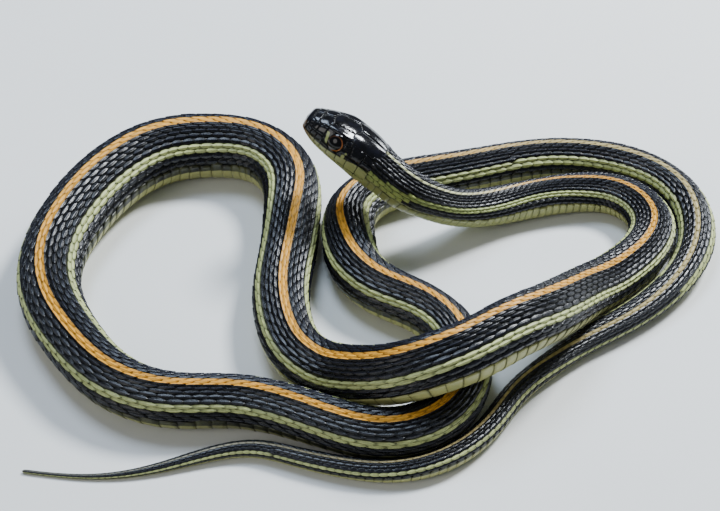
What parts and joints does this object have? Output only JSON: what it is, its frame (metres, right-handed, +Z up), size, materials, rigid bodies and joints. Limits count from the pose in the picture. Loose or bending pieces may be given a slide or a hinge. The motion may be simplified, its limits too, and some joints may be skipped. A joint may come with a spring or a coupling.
{
  "type": "garter snake",
  "caption": "Life-size still model of a slender ribbon garter snake, lying in loose bends with its head raised over its own body.",
  "frame": {"origin": "on the floor, under the middle of the model's bounding box", "axes": "+Z up, +X along the longest extent towards the far end of the right-hand bends, -Y towards the side the head shows its left cheek to; the snout points to -X"},
  "size_m": [0.1398, 0.0924, 0.0285],
  "materials": {
    "skin": "black keeled scales with a gold stripe down the back, a pale green stripe on each side and a pale belly, satin; glossy black shields, pale lips and throat on the head",
    "eye": "clear glossy eye, round black pupil in a thin coppery ring"
  },
  "bodies": {
    "root": {"head": "skin", "eye_left": "eye", "eye_right": "eye", "neck": "skin", "torso_front_loop": "skin", "torso_right_turn": "skin", "torso_crossing": "skin", "torso_left_turn": "skin", "torso_riser": "skin", "torso_arch_right": "skin", "torso_arch_left": "skin", "torso_corner": "skin", "torso_front_run": "skin", "torso_under_bend": "skin", "torso_inner_run": "skin", "torso_inner_bend": "skin", "tail_base": "skin", "tail_right_turn": "skin", "tail_return": "skin", "tail_front_bend": "skin", "tail_slender": "skin", "tail_end": "skin"}
  },
  "joints": []
}
